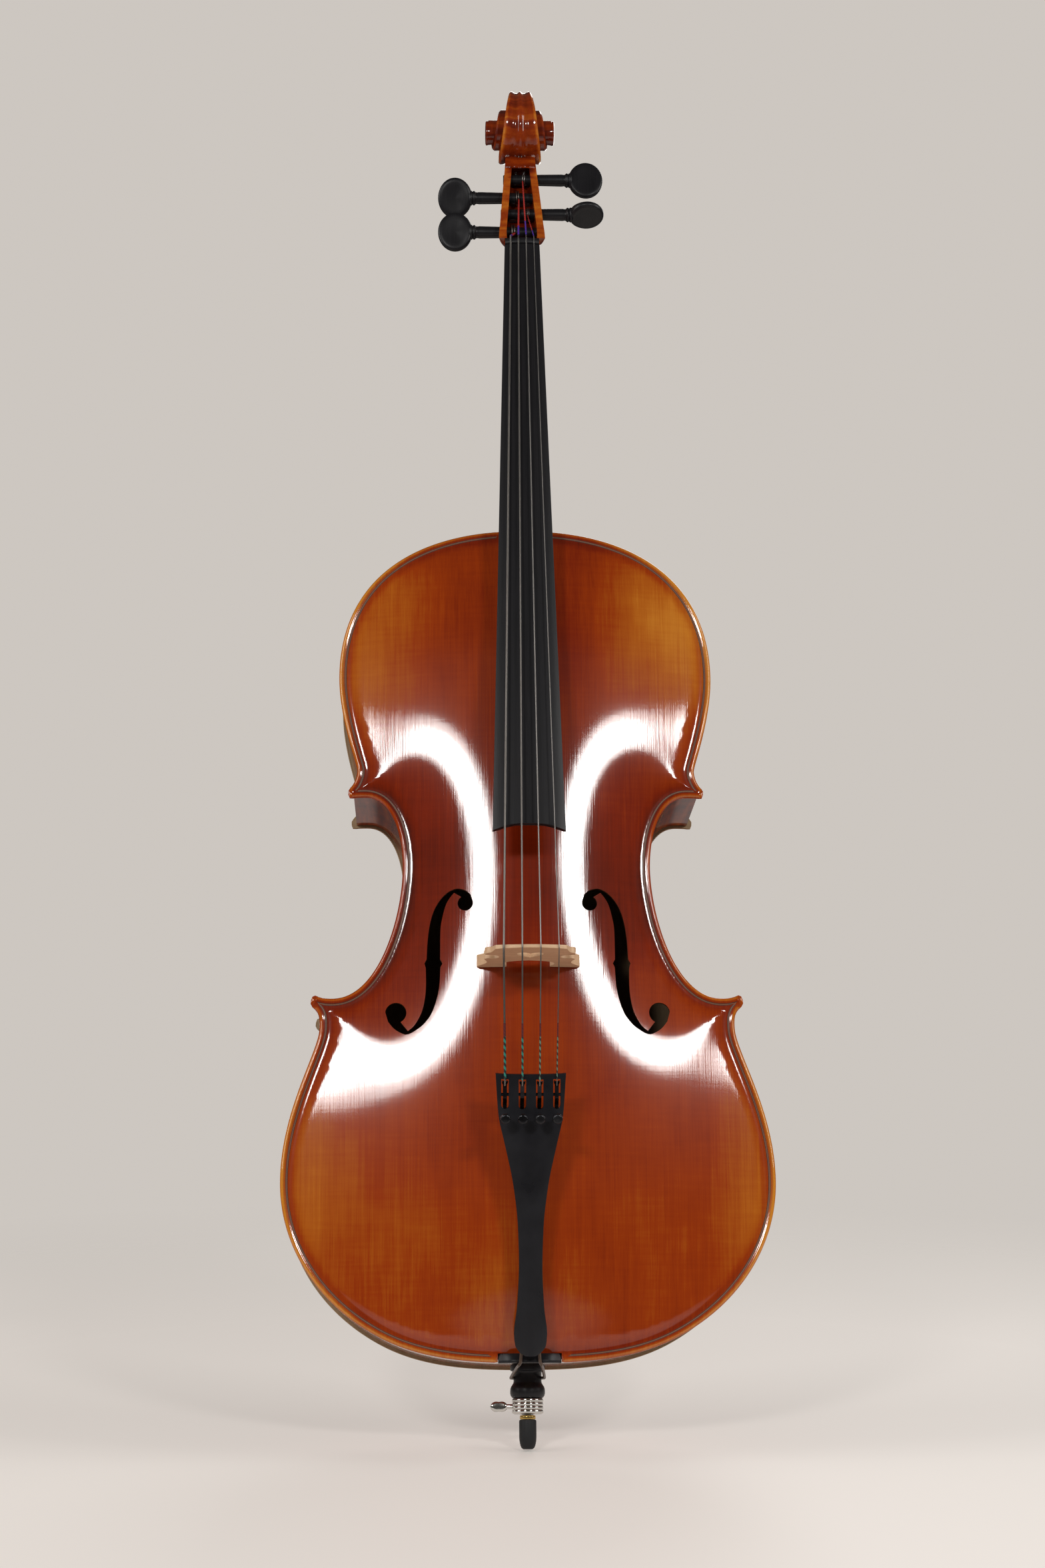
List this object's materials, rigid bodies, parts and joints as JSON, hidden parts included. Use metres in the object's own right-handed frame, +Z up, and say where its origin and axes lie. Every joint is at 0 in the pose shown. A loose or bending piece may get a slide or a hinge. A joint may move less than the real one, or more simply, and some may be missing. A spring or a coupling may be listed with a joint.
{
  "type": "cello",
  "caption": "Full-size bowed string instrument with arched plates, ribs, carved neck and scroll, bridge, tailpiece with fine tuners, turning pegs and a sliding endpin.",
  "frame": {"origin": "centre of the flat foot of the endpin's rubber tip, with the endpin pushed in", "axes": "+Z up the instrument along the endpin's axis, -Y out of the front, +X towards the treble side, the right of someone who faces the front"},
  "size_m": [0.434, 0.2652, 1.296],
  "materials": {
    "varnished_spruce": "high gloss antiqued varnish",
    "varnished_maple": "high gloss antiqued varnish",
    "bare_spruce": "bare",
    "bridge_maple": "sanded",
    "ebony": "satin",
    "black_composite": "satin",
    "black_metal": "gloss",
    "chrome": "polished",
    "brass": "satin",
    "string_steel": "wound",
    "endpin_steel": "satin",
    "tailgut": "satin",
    "rubber": "matte"
  },
  "bodies": {
    "cello": {"back_plate": "varnished_maple", "bass_bar": "bare_spruce", "bridge": "bridge_maple", "centre_rib_bass": "varnished_maple", "centre_rib_treble": "varnished_maple", "corner_block_lower_bass": "bare_spruce", "corner_block_lower_treble": "bare_spruce", "corner_block_upper_bass": "bare_spruce", "corner_block_upper_treble": "bare_spruce", "end_block": "bare_spruce", "endpin_ferrule": "chrome", "endpin_plug": "ebony", "fingerboard": "ebony", "lining_back_centre_bass": "bare_spruce", "lining_back_centre_treble": "bare_spruce", "lining_back_lower_bass": "bare_spruce", "lining_back_lower_treble": "bare_spruce", "lining_back_upper_bass": "bare_spruce", "lining_back_upper_treble": "bare_spruce", "lining_top_centre_bass": "bare_spruce", "lining_top_centre_treble": "bare_spruce", "lining_top_lower_bass": "bare_spruce", "lining_top_lower_treble": "bare_spruce", "lining_top_upper_bass": "bare_spruce", "lining_top_upper_treble": "bare_spruce", "lower_rib_bass": "varnished_maple", "lower_rib_treble": "varnished_maple", "neck_and_scroll": "varnished_maple", "neck_block": "bare_spruce", "nut": "ebony", "saddle": "ebony", "sound_post": "bare_spruce", "string_a": "string_steel", "string_c": "string_steel", "string_d": "string_steel", "string_g": "string_steel", "tailgut": "tailgut", "tailpiece": "black_composite", "top_plate": "varnished_spruce", "tuner_axle": "black_metal", "upper_rib_bass": "varnished_maple", "upper_rib_treble": "varnished_maple"},
    "endpin": {"endpin_rod": "endpin_steel", "endpin_ring": "brass", "endpin_rubber_tip": "rubber"},
    "clamp_screw": {"endpin_thumb_screw": "chrome"},
    "c_peg": {"peg_c": "ebony"},
    "c_tuner_screw": {"tuner_screw_c": "black_metal"},
    "c_tuner_lever": {"tuner_lever_c": "black_metal"},
    "g_peg": {"peg_g": "ebony"},
    "g_tuner_screw": {"tuner_screw_g": "black_metal"},
    "g_tuner_lever": {"tuner_lever_g": "black_metal"},
    "d_peg": {"peg_d": "ebony"},
    "d_tuner_screw": {"tuner_screw_d": "black_metal"},
    "d_tuner_lever": {"tuner_lever_d": "black_metal"},
    "a_peg": {"peg_a": "ebony"},
    "a_tuner_screw": {"tuner_screw_a": "black_metal"},
    "a_tuner_lever": {"tuner_lever_a": "black_metal"}
  },
  "joints": [
    {"name": "endpin_slide", "type": "slide", "parent": "cello", "child": "endpin", "axis": [0, 0, -1], "range_m": [0, 0.35]},
    {"name": "clamp_screw_turn", "type": "hinge", "parent": "cello", "child": "clamp_screw", "pos_m": [-0.0252, 0, 0.0366], "axis": [-1, 0, 0], "range_deg": [0, 720]},
    {"name": "c_peg_turn", "type": "hinge", "parent": "cello", "child": "c_peg", "pos_m": [0, -0.0315, 1.1375], "axis": [-1, 0, 0], "continuous": true},
    {"name": "g_peg_turn", "type": "hinge", "parent": "cello", "child": "g_peg", "pos_m": [0, -0.0195, 1.1786], "axis": [-1, 0, 0], "continuous": true},
    {"name": "d_peg_turn", "type": "hinge", "parent": "cello", "child": "d_peg", "pos_m": [0, -0.0135, 1.2006], "axis": [1, 0, 0], "continuous": true},
    {"name": "a_peg_turn", "type": "hinge", "parent": "cello", "child": "a_peg", "pos_m": [0, -0.0255, 1.159], "axis": [1, 0, 0], "continuous": true},
    {"name": "c_tuner_turn", "type": "hinge", "parent": "cello", "child": "c_tuner_screw", "pos_m": [-0.0222, -0.13658, 0.27361], "axis": [0, 0.9697, 0.2445], "range_deg": [-180, 720]},
    {"name": "c_tuner_lever_tilt", "type": "hinge", "parent": "cello", "child": "c_tuner_lever", "pos_m": [-0.0222, -0.13286, 0.29362], "axis": [1, 0, 0], "range_deg": [-0.8, 3.2]},
    {"name": "g_tuner_turn", "type": "hinge", "parent": "cello", "child": "g_tuner_screw", "pos_m": [-0.0074, -0.13658, 0.27361], "axis": [0, 0.9697, 0.2445], "range_deg": [-180, 720]},
    {"name": "g_tuner_lever_tilt", "type": "hinge", "parent": "cello", "child": "g_tuner_lever", "pos_m": [-0.0074, -0.13286, 0.29362], "axis": [1, 0, 0], "range_deg": [-0.8, 3.2]},
    {"name": "d_tuner_turn", "type": "hinge", "parent": "cello", "child": "d_tuner_screw", "pos_m": [0.0074, -0.13658, 0.27361], "axis": [0, 0.9697, 0.2445], "range_deg": [-180, 720]},
    {"name": "d_tuner_lever_tilt", "type": "hinge", "parent": "cello", "child": "d_tuner_lever", "pos_m": [0.0074, -0.13286, 0.29362], "axis": [1, 0, 0], "range_deg": [-0.8, 3.2]},
    {"name": "a_tuner_turn", "type": "hinge", "parent": "cello", "child": "a_tuner_screw", "pos_m": [0.0222, -0.13658, 0.27361], "axis": [0, 0.9697, 0.2445], "range_deg": [-180, 720]},
    {"name": "a_tuner_lever_tilt", "type": "hinge", "parent": "cello", "child": "a_tuner_lever", "pos_m": [0.0222, -0.13286, 0.29362], "axis": [1, 0, 0], "range_deg": [-0.8, 3.2]}
  ],
  "couplings": [
    {"joint": "c_tuner_lever_tilt", "follows": "c_tuner_turn", "ratio": 0.0043},
    {"joint": "g_tuner_lever_tilt", "follows": "g_tuner_turn", "ratio": 0.0043},
    {"joint": "d_tuner_lever_tilt", "follows": "d_tuner_turn", "ratio": 0.0043},
    {"joint": "a_tuner_lever_tilt", "follows": "a_tuner_turn", "ratio": 0.0043}
  ]
}
